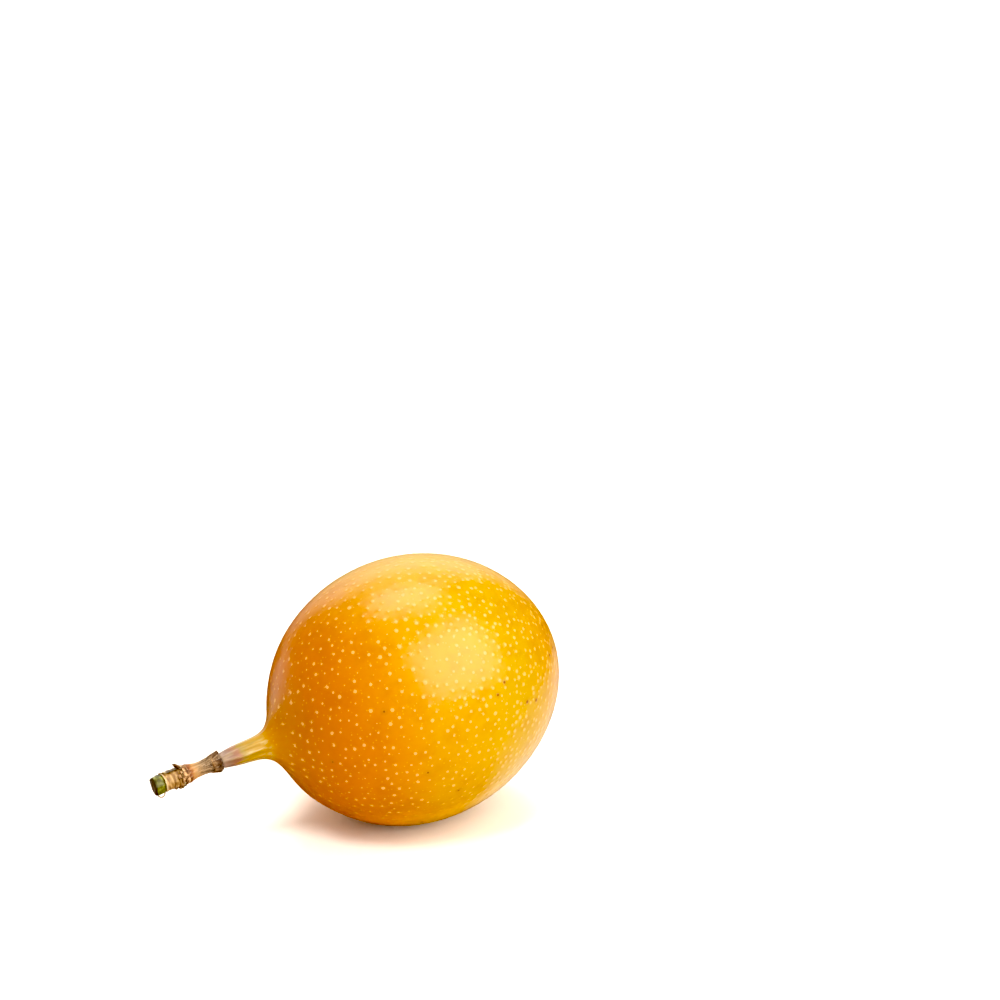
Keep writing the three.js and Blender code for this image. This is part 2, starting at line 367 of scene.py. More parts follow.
def shape_rind(radius, angle, height):
    """Adds the unevenness, lean, flutes, dimple and scar to a spun surface, and gives X, Y, Z."""
    share = np.clip(radius / BERRY_RADIUS, 0, 1)
    oval = OVAL * np.cos(2 * angle)
    lobe = LOBE * np.cos(3 * (angle - LOBE_TURN))
    flute = FLUTE_RELIEF * bell(height, FLUTE_CENTRE, FLUTE_REACH) * np.cos(FLUTES * angle)
    full = radius * (1 + share * (oval + lobe)) + np.where(height > 0, flute, 0)
    dimple = np.where(height < 0, DIMPLE_DEPTH * bell(radius, 0, DIMPLE_RADIUS), 0)
    scar = np.where(height < 0, SCAR_HEIGHT * np.exp(-((radius / SCAR_RADIUS) ** 4)), 0)
    lift = NECK_LIFT * smoothstep(LIFT_FROM, NECK_END, height)
    drop = SHOULDER_DROP * bell(height, SHOULDER_AT, SHOULDER_REACH)
    x = full * np.cos(angle) + LEAN_UP * height * share + lift - drop
    y = full * np.sin(angle) + LEAN_SIDE * height * share
    return np.stack([x, y, height + dimple - scar], -1)


class Crowd:
    """Places that keep apart, sorted into cubes so that only near ones are compared."""

    def __init__(self, cell):
        self.cell = cell
        self.cells = {}

    def key(self, place):
        return tuple(int(math.floor(c / self.cell)) for c in place)

    def clear(self, place, apart):
        kx, ky, kz = self.key(place)
        for key in itertools.product((kx - 1, kx, kx + 1), (ky - 1, ky, ky + 1), (kz - 1, kz, kz + 1)):
            if any((place - other).length < apart for other in self.cells.get(key, ())):
                return False
        return True

    def add(self, place):
        self.cells.setdefault(self.key(place), []).append(place)


def choose_lenticels(mesh, rng):
    """Picks vertices for lenticels: evenly scattered, closer and larger towards the blossom end."""
    places = coordinates(mesh)
    shortest = [math.inf] * len(places)
    for edge in mesh.edges:
        gap = float(np.linalg.norm(places[edge.vertices[0]] - places[edge.vertices[1]]))
        for index in edge.vertices:
            shortest[index] = min(shortest[index], gap)
    crowd = Crowd(LENTICEL_SPARSE * LENTICEL_SCATTER)
    chosen = []
    order = list(range(len(places)))
    rng.shuffle(order)
    for index in order:
        x, y, z = places[index]
        if z > 0 and math.hypot(x, y) < LENTICEL_STOP:
            continue
        place = Vector((x, y, z))
        patch = noise.noise(place * PATCH_SCALE)
        blossom = float(smoothstep(SPARSE_ABOVE, DENSE_BELOW, z + PATCH_WANDER * patch))
        apart = LENTICEL_SPARSE + (LENTICEL_DENSE - LENTICEL_SPARSE) * blossom
        apart *= rng.uniform(1.0, LENTICEL_SCATTER)
        usual = LENTICEL_USUAL + LENTICEL_GROWTH * blossom
        wanted = rng.triangular(LENTICEL_SIZES[0], LENTICEL_LARGEST, usual)
        room = shortest[index] - LENTICEL_MARGIN
        sizes = [size for size in LENTICEL_SIZES if size <= min(wanted, room)]
        if sizes and crowd.clear(place, apart):
            crowd.add(place)
            chosen.append((place, sizes[-1]))
    return chosen


def raise_lenticels(berry, lenticels):
    """Bevels the chosen vertices to round patches and insets each patch upwards."""
    for size in LENTICEL_SIZES:
        tree = KDTree(len(berry.data.vertices))
        for vertex in berry.data.vertices:
            tree.insert(vertex.co, vertex.index)
        tree.balance()
        edit(berry)
        object_mode()
        for centre in [place for place, own in lenticels if own == size]:
            berry.data.vertices[tree.find(centre)[1]].select = True
        bpy.ops.object.mode_set(mode="EDIT")
        bpy.ops.mesh.bevel(offset=size, offset_type="OFFSET", segments=2, profile=LENTICEL_ROUNDNESS,
                           affect="VERTICES", clamp_overlap=False)
        bpy.ops.mesh.inset(thickness=size * LENTICEL_SHOULDER, depth=size * LENTICEL_RISE,
                           use_boundary=True)
        object_mode()


def make_neck(outline):
    """The neck up to the peg that the collar hides, open where it joins the berry."""
    top = outline.height[outline.join_at:]
    stops = np.linspace(float(top[0]) + NECK_JOIN_GAP, NECK_END, NECK_RINGS)
    rings = [(float(np.interp(z, top, outline.radius[outline.join_at:])), float(z)) for z in stops]
    rings += [(radius, NECK_END + past) for radius, past in NECK_PEG]
    neck = draw_rings("neck", rings, NECK_SIDES)
    edit(neck)
    object_mode()
    for vertex in neck.data.vertices:
        vertex.select = vertex.co.z > rings[-1][1] - 0.05
    bpy.ops.object.mode_set(mode="EDIT")
    bpy.ops.mesh.edge_face_add()
    object_mode()
    return neck


def draw_berry(outline):
    """A sphere drawn out to the berry, its triangles of one size, open where the neck joins."""
    deselect_all()
    bpy.ops.mesh.primitive_ico_sphere_add(subdivisions=SPHERE_CUTS, radius=BERRY_RADIUS)
    berry = bpy.context.object
    bpy.ops.object.mode_set(mode="EDIT")
    bpy.ops.transform.rotate(value=SPHERE_TURN, orient_axis="X", center_override=(0, 0, 0))
    bpy.ops.transform.vertex_random(offset=VERTEX_SCATTER, seed=SEED)
    object_mode()
    places = coordinates(berry.data)
    share = (1 + places[:, 2] / np.linalg.norm(places, axis=1)) / 2
    past_join = 1.02
    area = share * outline.area[outline.join_at] * past_join
    radius = np.interp(area, outline.area, outline.radius)
    angle = np.arctan2(places[:, 1], places[:, 0])
    height = np.interp(area, outline.area, outline.height)
    move_vertices(berry.data, np.stack([radius * np.cos(angle), radius * np.sin(angle), height], -1))
    edit(berry)
    bpy.ops.mesh.select_all(action="SELECT")
    join_height = float(outline.height[outline.join_at])
    bpy.ops.mesh.bisect(plane_co=(0, 0, join_height), plane_no=(0, 0, 1), clear_outer=True)
    object_mode()
    return berry


def refine_blossom_end(berry):
    """Cuts the faces of the dimple finer, so that the scar in it has a shape."""
    edit(berry, "FACE")
    object_mode()
    for face in berry.data.polygons:
        face.select = face.center.z < 0 and math.hypot(face.center.x, face.center.y) < DIMPLE_RADIUS
    bpy.ops.object.mode_set(mode="EDIT")
    bpy.ops.mesh.subdivide(number_cuts=2)
    object_mode()


def paint_lenticels(rind, lenticels, rng):
    """Marks each lenticel's raised top, with its own strength, the few that are brown, and the scar."""
    tree = KDTree(len(lenticels))
    for number, (place, size) in enumerate(lenticels):
        tree.insert(place, number)
    tree.balance()
    strengths = [rng.uniform(LENTICEL_FAINTEST, 1.0) * min(size / LENTICEL_SIZES[2], 1)
                 for _, size in lenticels]
    browned = [0.0] * len(lenticels)
    for turn, height in BROWN_LENTICELS:
        angle = math.radians(turn)
        radius = BERRY_RADIUS * math.sqrt(max(1 - (height / BERRY_TO_BLOSSOM) ** 2, 0))
        spot = Vector((radius * math.cos(angle), radius * math.sin(angle), height))
        browned[tree.find(spot)[1]] = 1.0
    specks = []
    scabs = []
    for vertex in rind.data.vertices:
        _, number, gap = tree.find(vertex.co)
        cover = float(smoothstep(*LENTICEL_EDGE, gap / lenticels[number][1]))
        specks.append(strengths[number] * cover)
        scar = 0.0
        if vertex.co.z < 0:
            scar = float(smoothstep(*SCAR_EDGE, math.hypot(vertex.co.x, vertex.co.y) / SCAR_RADIUS))
        scabs.append(max(browned[number] * cover, scar))
    paint(rind, "lenticel", specks)
    paint(rind, "scab", scabs)


def make_rind(outline, rng):
    """One closed skin: berry, lenticels that rise out of it, and neck."""
    berry = draw_berry(outline)
    lenticels = choose_lenticels(berry.data, rng)
    raise_lenticels(berry, lenticels)
    refine_blossom_end(berry)
    rind = join_pieces([berry, make_neck(outline)], "rind")
    edit(rind, "EDGE")
    bpy.ops.mesh.select_non_manifold(extend=False, use_wire=False, use_boundary=True,
                                     use_multi_face=False, use_non_contiguous=False, use_verts=False)
    bpy.ops.mesh.bridge_edge_loops()
    face_outwards(rind)
    paint_lenticels(rind, lenticels, rng)
    places = coordinates(rind.data)
    radius = np.hypot(places[:, 0], places[:, 1])
    angle = np.arctan2(places[:, 1], places[:, 0])
    move_vertices(rind.data, shape_rind(radius, angle, places[:, 2]))
    lay_down(rind)
    for vertex in rind.data.vertices:
        vertex.co.z = max(vertex.co.z, 0)
    rind.data.shade_smooth()
    return rind


# ---------------- the dry stalk


def stalk_radius(height):
    """Radius of the stalk this far from the rim of its collar."""
    collar = COLLAR_FLARE * bell(height, 0, COLLAR_REACH)
    sheath = SHEATH_SWELL * smoothstep(SHEATH_FROM, SHEATH_TO, height)
    ring = SCAR_RING_SWELL * bell(height, SCAR_RING_AT, SCAR_RING_REACH)
    return STALK_WAIST + collar + sheath + ring


def place_on_stalk(piece):
    """Moves a piece drawn over the rim of the collar to the stalk's bowed axis, and lays it down."""
    places = coordinates(piece.data)
    places[:, 0] += NECK_LIFT + STALK_BOW * np.clip(places[:, 2] / STALK_LENGTH, 0, None) ** 2
    places[:, 2] += NECK_END + COLLAR_CLEAR
    move_vertices(piece.data, places)
    lay_down(piece)
    piece.data.shade_smooth()


def ring_noise(angle, reach, rise):
    """Noise that closes on itself round the stalk; a longer reach makes it finer."""
    return noise.noise(Vector((math.cos(angle) * reach, math.sin(angle) * reach, rise)))


def grain(angle, height, streaks, stretch, seed):
    """Noise that runs with the fibres: about this many streaks round the stalk, drawn out along it."""
    return ring_noise(angle + FIBRE_TWIST * height, streaks / (2 * math.pi), height * stretch + seed)


def crack_depth(angle, height):
    """How open the bark is cracked, 0 to 1: long at the collar, fading before the scar ring."""
    worn = 1 - 0.82 * float(smoothstep(*CRACKS_FADE, height))
    worn += 0.25 * float(smoothstep(*CRACKS_RETURN, height))
    line = abs(grain(angle, height, 16, 0.24, 3.1))
    fine = abs(grain(angle, height, 30, 0.35, 7.7))
    deep = float(smoothstep(0.13, 0.02, line)) + 0.7 * float(smoothstep(0.1, 0.02, fine))
    return min(deep, 1.0) * worn


def make_dry_stalk():
    """Stalk core with its torn, flared collar, cracked bark, scar ring and hollow for the neck's peg."""
    heights = np.arange(COLLAR_RIM, STALK_LENGTH, STALK_RING_STEP)
    outside = [(float(stalk_radius(h)), float(h)) for h in heights]
    stalk = draw_rings("dry_stalk", [*COLLAR_HOLLOW, *outside, *STALK_END], STALK_SIDES)
    close_ends(stalk)
    places = coordinates(stalk.data)
    painted_crack_shade = []
    for place in places:
        angle = math.atan2(place[1], place[0])
        radius = math.hypot(place[0], place[1])
        height = float(place[2])
        in_hollow = radius <= HOLLOW_RADIUS and height <= HOLLOW_TOP
        skin = float(not in_hollow and height < STALK_LENGTH)
        crack = crack_depth(angle, height)
        relief = -CRACK_DEPTH * crack + GROOVE_RELIEF * grain(angle, height, 7, 0.16, 1.2)
        relief += FIBRE_RELIEF * grain(angle, height, 40, 0.6, 5)
        knot = float(bell(height, SCAR_RING_AT, SCAR_RING_REACH))
        relief += knot * (KNOT_RELIEF * grain(angle, height, 12, 0.9, 9) + KNOT_SWELL)
        torn = TORN_DEEP * abs(grain(angle, 0, 9, 0, 2)) + TORN_FINE * abs(grain(angle, 0, 21, 0, 6))
        torn *= float(bell(height, -0.4, TORN_REACH)) * (TORN_OUTSIDE if radius > 2 else TORN_INSIDE)
        ragged = COLLAR_RAGGED * float(bell(height, -0.2, 0.9)) * grain(angle, height, 16, 0.4, 4)
        away = radius + skin * (relief + ragged)
        place[:] = away * math.cos(angle), away * math.sin(angle), height + torn
        painted_crack_shade.append(crack * skin)
    move_vertices(stalk.data, places)
    # Painted shade for the cracks, which the bark material darkens.
    paint(stalk, "crack", painted_crack_shade)
    place_on_stalk(stalk)
    return stalk


def draw_flake():
    """A flat scale of bark, 1 by 1: it lies in X across the stalk and Y along it."""
    deselect_all()
    bpy.ops.mesh.primitive_grid_add(x_subdivisions=9, y_subdivisions=10, size=1)
    flake = bpy.context.object
    bpy.ops.object.transform_apply()
    places = coordinates(flake.data)
    paint(flake, "torn_edge", np.clip(np.maximum(np.abs(places[:, 0]) * 2, places[:, 1] * 2), 0, 1))
    return flake


def curl_flake(flake, spec, rng):
    """Wraps a copy of the flake on the stalk and rolls its free end outwards."""
    angle, root, length, width, lift, curl = spec
    piece = flake.copy()
    piece.data = flake.data.copy()
    bpy.context.scene.collection.objects.link(piece)
    radius = float(stalk_radius(root)) - SCALE_SUNK
    seed = rng.uniform(0, 50)
    places = coordinates(piece.data)
    for place in places:
        along = place[1] + 0.5
        ragged = 0.3 * noise.noise(Vector((place[0] * 5, place[1] * 5, seed))) * along
        across = place[0] * width * (1 - 0.4 * along * along + ragged)
        bend = lift + curl * along
        up = abs(length) * (math.sin(bend) - math.sin(lift)) / curl
        out = abs(length) * (math.cos(lift) - math.cos(bend)) / curl
        away = radius + out + 0.1 * noise.noise(Vector((place[0] * 3, place[1] * 3, seed + 9)))
        turn = angle + across / radius
        height = root + math.copysign(up * (1 + 0.5 * ragged), length)
        place[:] = away * math.cos(turn), away * math.sin(turn), height
    move_vertices(piece.data, places)
    return piece


def make_peeling_bark(rng):
    """Curled scales of old bark: a ruff over the scar ring, and flaps that make the collar ragged."""
    flake = draw_flake()
    specs = []
    for count, stray, *ranges in SCALE_ROWS:
        for number in range(count):
            angle = 2 * math.pi * (number + rng.uniform(-stray, stray)) / count
            specs.append((angle, *[rng.uniform(*span) for span in ranges]))
    bark = join_pieces([curl_flake(flake, spec, rng) for spec in specs], "peeling_bark")
    bpy.data.objects.remove(flake)
    thicken(bark, SCALE_THICKNESS)
    place_on_stalk(bark)
    return bark


def make_papery_sheath():
    """A dry papery leaf base wrapped once round the stalk, with one long edge that stands off."""
    deselect_all()
    bpy.ops.mesh.primitive_grid_add(x_subdivisions=110, y_subdivisions=44, size=1)
    sheath = bpy.context.object
    sheath.name = "papery_sheath"
    bpy.ops.object.transform_apply()
    places = coordinates(sheath.data)
    loose = np.zeros(len(places))
    edge = np.zeros(len(places))
    for number, place in enumerate(places):
        share = place[0] + 0.5
        along = place[1] + 0.5
        angle = SHEATH_OPEN_AT + SHEATH_WRAP * (1 - share)
        free = float(smoothstep(0.1, 0.0, 1 - share))
        start = SHEATH_START + 0.45 * ring_noise(angle, 1.7, 3) + 0.25 * ring_noise(angle, 5, 8)
        end = SHEATH_END + 0.16 * ring_noise(angle, 3, 5) - SHEATH_FREE_SHORT * free
        height = start + (end - start) * along
        wrinkle = 0.05 * grain(angle, height, 15, 0.2, 12)
        wrinkle += 0.13 * ring_noise(angle, 1.1, height * 1.5 + 4)
        wrinkle += 0.06 * ring_noise(angle, 2.5, height * 3 + 9)
        flare = SHEATH_END_FLARE * float(smoothstep(0.85, 1.0, along))
        flare += SHEATH_START_FLARE * float(smoothstep(0.12, 0.0, along))
        lift = SHEATH_CLEAR + SHEATH_OVERLAP * share + wrinkle + flare + SHEATH_FREE_LIFT * free
        away = float(stalk_radius(height)) + lift
        place[:] = away * math.cos(angle), away * math.sin(angle), height
        loose[number] = free
        edge[number] = max(float(smoothstep(0.9, 1.0, along)), float(smoothstep(0.1, 0.0, along)))
    move_vertices(sheath.data, places)
    paint(sheath, "loose", loose)
    paint(sheath, "paper_edge", edge)
    thicken(sheath, SHEATH_THICKNESS)
    face_outwards(sheath)
    place_on_stalk(sheath)
    return sheath


def make_loose_fibre():
    """One fibre of the sheath, torn off and looped under the tip."""
    deselect_all()
    root = (FIBRE_ROOT, 0, FIBRE_HEIGHT - FIBRE_DROP)
    bpy.ops.mesh.primitive_circle_add(vertices=8, radius=FIBRE_RADIUS, location=root,
                                      rotation=(0, FIBRE_LEAN, 0))
    fibre = bpy.context.object
    fibre.name = "loose_fibre"
    bpy.ops.object.transform_apply()
    bpy.ops.object.mode_set(mode="EDIT")
    bpy.ops.mesh.select_all(action="SELECT")
    centre = (FIBRE_ROOT + FIBRE_LOOP_OUT, 0, FIBRE_HEIGHT)
    bpy.ops.mesh.spin(steps=26, angle=FIBRE_SWEEP, center=centre, axis=(0, 1, 0))
    bpy.ops.mesh.select_all(action="SELECT")
    bpy.ops.transform.rotate(value=FIBRE_TURN, orient_axis="Z", center_override=(0, 0, 0))
    object_mode()
    close_ends(fibre)
    place_on_stalk(fibre)
    return fibre


def make_green_tip():
    """Living end of the stalk: blunt green stub, rounded shoulder, browned cut with sunken pith."""
    shoulder = TIP_RADIUS - CUT_RADIUS
    rings = [(radius, TIP_FOOT + up) for radius, up in FOOT_RINGS]
    rings += [(TIP_RADIUS, float(h)) for h in np.linspace(TIP_FOOT + 0.5, TIP_CUT - 1.7 * shoulder, 11)]
    for turn in np.radians(np.linspace(10, 82, 9)):
        down = 1.5 * shoulder * (1 - math.sin(turn))
        rings.append((CUT_RADIUS + shoulder * math.cos(turn), TIP_CUT - down))
    rings += [(radius, TIP_CUT + up) for radius, up in CUT_RINGS]
    tip = draw_rings("green_tip", rings, TIP_SIDES)
    close_ends(tip)
    places = coordinates(tip.data)
    cut_face = []
    for place in places:
        angle = math.atan2(place[1], place[0])
        radius = math.hypot(place[0], place[1])
        height = float(place[2])
        top = float(smoothstep(TIP_CUT - 0.75, TIP_CUT - 0.1, height))
        facet = TIP_FACETS * math.cos(5 * angle + 0.6) + TIP_OVAL * math.cos(2 * angle)
        lump = TIP_LUMPS * ring_noise(angle, 1.6, height * 0.8)
        bud = TIP_BUD * float(bell(angle, TIP_BUD_AT, 0.16) * bell(height, TIP_FOOT + 0.9, 0.35))
        away = radius + float(radius > CUT_RIM) * (facet + lump + bud)
        rough = CUT_ROUGH * noise.noise(Vector((place[0] * 3, place[1] * 3, 7))) * top
        slant = CUT_SLANT * radius * math.cos(angle + 1.1)
        slant *= float(smoothstep(TIP_FOOT + 0.4, TIP_FOOT + 1.2, height))
        place[:] = away * math.cos(angle), away * math.sin(angle), height + slant + rough
        cut_face.append(top * (0.35 + 0.65 * (1 - radius / TIP_RADIUS)))
    move_vertices(tip.data, places)
    paint(tip, "cut", cut_face)
    place_on_stalk(tip)
    return tip


# ---------------- materials


SMOOTH = {"interpolation_type": "SMOOTHSTEP"}
COLOURS = {"data_type": "RGBA"}
MULTIPLY = {"operation": "MULTIPLY"}
BUMP = 0.2 * MM


def add_node(tree, kind, settings=None, inputs=None, stops=None):
    """Adds a node; an input is a constant, or the node or socket that feeds it; stops fill a ramp."""
    node = tree.nodes.new(kind)
    for key, value in (settings or {}).items():
        setattr(node, key, value)
    for key, value in (inputs or {}).items():
        named = [s for s in node.inputs if s.enabled and s.name == key]
        socket = named[0] if named else node.inputs[key]
        if isinstance(value, bpy.types.Node):
            value = next(s for s in value.outputs if s.enabled)
        if isinstance(value, bpy.types.NodeSocket):
            tree.links.new(value, socket)
        else:
            socket.default_value = value
    for number, (position, colour) in enumerate(stops or ()):
        elements = node.color_ramp.elements
        element = elements[number] if number < 2 else elements.new(position)
        element.position = position
        element.color = srgb(colour)
    return node


def new_material(name):
    material = bpy.data.materials.new(name)
    material.use_nodes = True
    material.node_tree.nodes.clear()
    return material, material.node_tree


def features(size):
    """Texture scale whose features are this many millimetres apart."""
    return 1 / (size * MM)


def standing_place(tree):
    """Object coordinates turned and moved to the standing fruit, in metres."""
    place = add_node(tree, "ShaderNodeTexCoord").outputs["Object"]
    turn = {"Vector": place, "Location": LAY_DOWN.to_translation(), "Rotation": LAY_DOWN.to_euler()}
    return add_node(tree, "ShaderNodeMapping", {"vector_type": "TEXTURE"}, turn)


def height_share(tree, place, low, high, wander, size):
    """Height along the fruit's axis as a share from low to high, in mm, with a wandering edge."""
    axis = add_node(tree, "ShaderNodeSeparateXYZ", inputs={"Vector": place}).outputs["Z"]
    patches = add_node(tree, "ShaderNodeTexNoise",
                       inputs={"Vector": place, "Scale": features(size), "Detail": 2.0})
    shift = add_node(tree, "ShaderNodeMapRange", inputs={
        "Value": patches, "From Min": 0.25, "From Max": 0.75, "To Min": -wander * MM, "To Max": wander * MM})
    moved = add_node(tree, "ShaderNodeMath", {"operation": "ADD"}, {0: axis, 1: shift})
    return add_node(tree, "ShaderNodeMapRange",
                    inputs={"Value": moved, "From Min": low * MM, "From Max": high * MM})


def stops_along(low, high, marks):
    """Ramp stops from (height in mm, colour) marks."""
    return [((height - low) / (high - low), colour) for height, colour in marks]


RIND_COLOURS = ((-38, "#A37107"), (-30, "#A27607"), (-23, "#A07B07"), (-17.5, "#9F7D07"),
                (-12.5, "#A07F07"), (-7.5, "#A38007"), (-2.5, "#A57F07"), (4, "#A67C07"), (10, "#A57907"),
                (14, "#A57307"), (18, "#A46C07"), (22, "#A36707"), (26, "#A26207"), (30, "#A05F07"),
                (33, "#9E5D07"), (35.5, "#9A5D07"), (38.5, "#976207"), (41, "#986807"), (43, "#947211"),
                (47, "#8F7025"), (49.4, "#7F6A2F"), (50.4, "#7C543C"), (51.4, "#734F3A"), (52.6, "#6F5544"),
                (54, "#796455"))


def rind_material():
    """Ripe granadilla rind: a smooth yellow-orange skin with a thin natural wax, which gives it soft,
    clear highlights, and small corky lenticels that stay dull."""
    material, tree = new_material("waxy_granadilla_rind")
    place = standing_place(tree)
    low, high = RIND_COLOURS[0][0], RIND_COLOURS[-1][0]
    share = height_share(tree, place, low, high, 1.1, 14)
    drawn = add_node(tree, "ShaderNodeMapping", inputs={"Vector": place, "Scale": (1.0, 1.0, 0.12)})
    streaks = add_node(tree, "ShaderNodeTexNoise",
                       inputs={"Vector": drawn, "Scale": features(1.0), "Detail": 2.0, "Roughness": 0.5})
    ragged = add_node(tree, "ShaderNodeMath", {"operation": "MULTIPLY_ADD"}, {0: streaks, 1: 0.05, 2: share})
    share = add_node(tree, "ShaderNodeMath", {"operation": "SUBTRACT"}, {0: ragged, 1: 0.025})
    skin = add_node(tree, "ShaderNodeValToRGB", inputs={"Fac": share},
                    stops=stops_along(low, high, RIND_COLOURS))

    # Painted light: the underside, by the floor, is painted paler for the light that the bright floor throws
    # up on it.
    upward = add_node(tree, "ShaderNodeSeparateXYZ", inputs={"Vector": place}).outputs["X"]
    painted_floor_light = add_node(tree, "ShaderNodeMapRange", SMOOTH,
                           {"Value": upward, "From Min": -16.5 * MM, "From Max": -25.5 * MM})
    skin = add_node(tree, "ShaderNodeHueSaturation",
                    inputs={"Value": 1.33, "Fac": painted_floor_light, "Color": skin})

    # Slow mottling, about 7 mm across, where the skin is deeper in colour.
    mottle = add_node(tree, "ShaderNodeTexNoise",
                      inputs={"Vector": place, "Scale": features(7), "Detail": 3.0, "Roughness": 0.6})
    deep = add_node(tree, "ShaderNodeMapRange", SMOOTH,
                    {"Value": mottle, "From Min": 0.45, "From Max": 0.68, "To Min": 0.0, "To Max": 0.2})
    skin = add_node(tree, "ShaderNodeMix", COLOURS, {"Factor": deep, "A": skin, "B": srgb("#8A4E02")})

    # Streaks that run up the neck, about 0.7 mm wide and eight times as long: the pale ones are painted
    # highlights along its flutes, and green ones lie between them.
    axis = add_node(tree, "ShaderNodeSeparateXYZ", inputs={"Vector": place}).outputs["Z"]
    on_neck = add_node(tree, "ShaderNodeMapRange", SMOOTH,
                       {"Value": axis, "From Min": 40 * MM, "From Max": 44.5 * MM})
    painted_neck_highlight = add_node(tree, "ShaderNodeMapRange", SMOOTH,
                    {"Value": streaks, "From Min": 0.5, "From Max": 0.66})
    painted_neck_highlight = add_node(tree, "ShaderNodeMath", MULTIPLY, {0: painted_neck_highlight, 1: on_neck})
    ends = add_node(tree, "ShaderNodeMapRange", SMOOTH,
                    {"Value": axis, "From Min": 51.5 * MM, "From Max": 49.5 * MM, "To Min": 0.22})
    painted_neck_highlight = add_node(tree, "ShaderNodeMath", MULTIPLY, {0: painted_neck_highlight, 1: ends})
    skin = add_node(tree, "ShaderNodeMix", COLOURS, {"Factor": painted_neck_highlight, "A": skin, "B": srgb("#A49164")})
    green = add_node(tree, "ShaderNodeMapRange", SMOOTH,
                     {"Value": streaks, "From Min": 0.46, "From Max": 0.34, "To Max": 0.7})
    green = add_node(tree, "ShaderNodeMath", MULTIPLY, {0: green, 1: on_neck})
    green = add_node(tree, "ShaderNodeMath", MULTIPLY, {0: green, 1: ends})
    skin = add_node(tree, "ShaderNodeMix", COLOURS, {"Factor": green, "A": skin, "B": srgb("#816911")})

    # Pores between the lenticels: too fine to show at their true 0.1 mm, so they are drawn 0.4 mm wide.
    pores = add_node(tree, "ShaderNodeTexVoronoi", inputs={"Vector": place, "Scale": features(1.3)})
    pore = add_node(tree, "ShaderNodeMapRange", SMOOTH,
                    {"Value": pores, "From Min": 0.2, "From Max": 0.1, "To Max": 0.42})
    on_berry = add_node(tree, "ShaderNodeMath", {"operation": "SUBTRACT"}, {0: 1.0, 1: on_neck})
    pore = add_node(tree, "ShaderNodeMath", MULTIPLY, {0: pore, 1: on_berry})
    skin = add_node(tree, "ShaderNodeMix", COLOURS, {"Factor": pore, "A": skin, "B": srgb("#B79242")})

    spots = add_node(tree, "ShaderNodeAttribute", {"attribute_name": "lenticel"}).outputs["Fac"]
    spot = add_node(tree, "ShaderNodeMapRange", SMOOTH,
                    {"Value": spots, "From Min": 0.06, "From Max": 0.6, "To Max": 0.8})
    skin = add_node(tree, "ShaderNodeMix", COLOURS, {"Factor": spot, "A": skin, "B": srgb("#BE9452")})
    scabs = add_node(tree, "ShaderNodeAttribute", {"attribute_name": "scab"}).outputs["Fac"]
    skin = add_node(tree, "ShaderNodeMix", COLOURS, {"Factor": scabs, "A": skin, "B": srgb("#7A4A0C")})

    # The wax film is finely uneven: real dimples of 0.2 mm are drawn 0.6 mm wide so that they show.
    film = add_node(tree, "ShaderNodeTexNoise",
                    inputs={"Vector": place, "Scale": features(0.6), "Detail": 2.0})
    bump = add_node(tree, "ShaderNodeBump", inputs={"Height": film, "Strength": 0.1, "Distance": 0.1 * MM})
    dull = add_node(tree, "ShaderNodeMapRange", inputs={"Value": spots, "To Min": 0.3, "To Max": 0.45})
    shader = add_node(tree, "ShaderNodeBsdfPrincipled", inputs={
        "Base Color": skin, "Roughness": dull, "IOR": 1.5, "Specular IOR Level": 0.13, "Normal": bump,
        "Subsurface Weight": 0.12, "Subsurface Radius": (1.0, 0.35, 0.08), "Subsurface Scale": 1.2 * MM})
    add_node(tree, "ShaderNodeOutputMaterial", inputs={"Surface": shader})
    return material


BARK_COLOURS = ((54, "#372211"), (54.9, "#4F3821"), (55.8, "#63482E"), (57.2, "#6E5638"), (59.2, "#775F40"),
                (60.6, "#8F6F44"), (62, "#986D37"), (62.7, "#804914"), (63.2, "#5D2F08"),
                (63.8, "#66360B"), (64.4, "#725131"), (66, "#765933"), (69.9, "#7B6139"))


def bark_material():
    """Dead vine bark: corky, fibrous and quite dull, grey-brown where it is old and tan where it split."""
    material, tree = new_material("dry_vine_bark")
    place = standing_place(tree)
    low, high = BARK_COLOURS[0][0], BARK_COLOURS[-1][0]
    share = height_share(tree, place, low, high, 0.35, 1.2)
    bark = add_node(tree, "ShaderNodeValToRGB", inputs={"Fac": share},
                    stops=stops_along(low, high, BARK_COLOURS))

    # Fibres about 0.35 mm wide and ten times as long, light and dark.
    drawn = add_node(tree, "ShaderNodeMapping", inputs={"Vector": place, "Scale": (1.0, 1.0, 0.1)})
    fibres = add_node(tree, "ShaderNodeTexNoise",
                      inputs={"Vector": drawn, "Scale": features(0.7), "Detail": 3.0, "Roughness": 0.6})
    light = add_node(tree, "ShaderNodeMapRange", SMOOTH,
                     {"Value": fibres, "From Min": 0.5, "From Max": 0.68, "To Max": 0.6})
    bark = add_node(tree, "ShaderNodeMix", COLOURS, {"Factor": light, "A": bark, "B": srgb("#9D8261")})
    dark = add_node(tree, "ShaderNodeMapRange", SMOOTH,
                    {"Value": fibres, "From Min": 0.47, "From Max": 0.33, "To Max": 0.55})
    bark = add_node(tree, "ShaderNodeMix", COLOURS, {"Factor": dark, "A": bark, "B": srgb("#4B331A")})
    # Painted shade: the cracks in the bark are painted dark.
    painted_crack_shade = add_node(tree, "ShaderNodeAttribute", {"attribute_name": "crack"}).outputs["Fac"]
    bark = add_node(tree, "ShaderNodeMix", COLOURS, {"Factor": painted_crack_shade, "A": bark, "B": srgb("#2E1B08")})
    bump = add_node(tree, "ShaderNodeBump", inputs={"Height": fibres, "Strength": 0.5, "Distance": BUMP})
    shader = add_node(tree, "ShaderNodeBsdfPrincipled", inputs={
        "Base Color": bark, "Roughness": 0.75, "IOR": 1.45, "Specular IOR Level": 0.35, "Normal": bump})
    add_node(tree, "ShaderNodeOutputMaterial", inputs={"Surface": shader})
    return material


